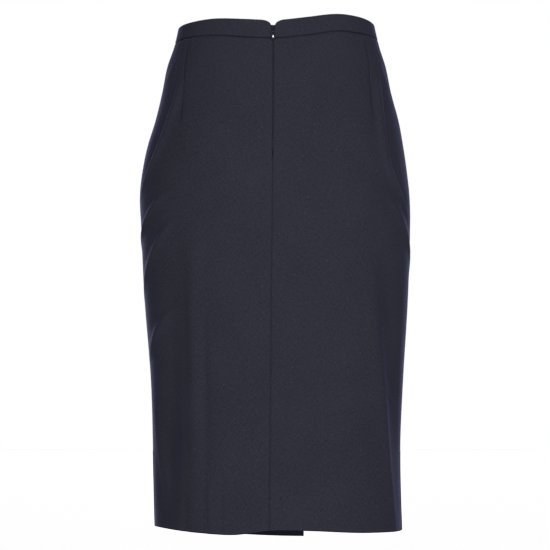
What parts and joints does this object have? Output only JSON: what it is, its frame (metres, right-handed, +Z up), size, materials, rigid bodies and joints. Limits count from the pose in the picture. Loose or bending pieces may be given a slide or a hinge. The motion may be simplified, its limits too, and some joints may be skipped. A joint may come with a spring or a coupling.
{
  "type": "pencil skirt",
  "caption": "Knee-length pencil skirt as worn, with a narrow waistband, seam pockets, a concealed back zip with a pull tab and a front slit.",
  "frame": {"origin": "middle of the wearer's waist, at half the height of the waistband", "axes": "+Z up, the wearer faces +Y and the zip is at -Y, +X is the wearer's right"},
  "size_m": [0.3513, 0.2533, 0.6742],
  "materials": {
    "wool": "fine navy wool suiting with a faint blue sheen",
    "zip_tape": "dark navy woven tape",
    "zip_metal": "glossy dark navy enamel"
  },
  "bodies": {
    "skirt": {"back_right": "wool", "back_left": "wool", "front_right": "wool", "front_left": "wool", "waistband_back_right": "wool", "waistband_back_left": "wool", "waistband_front": "wool", "zip_tape_right": "zip_tape", "zip_tape_left": "zip_tape", "zip_slider": "zip_metal"},
    "pull": {"zip_pull": "zip_metal"}
  },
  "joints": [
    {"name": "pull_hinge", "type": "hinge", "parent": "skirt", "child": "pull", "pos_m": [-0.00378, -0.10188, -0.01467], "axis": [-1, 0, 0], "range_deg": [0, 165]}
  ]
}
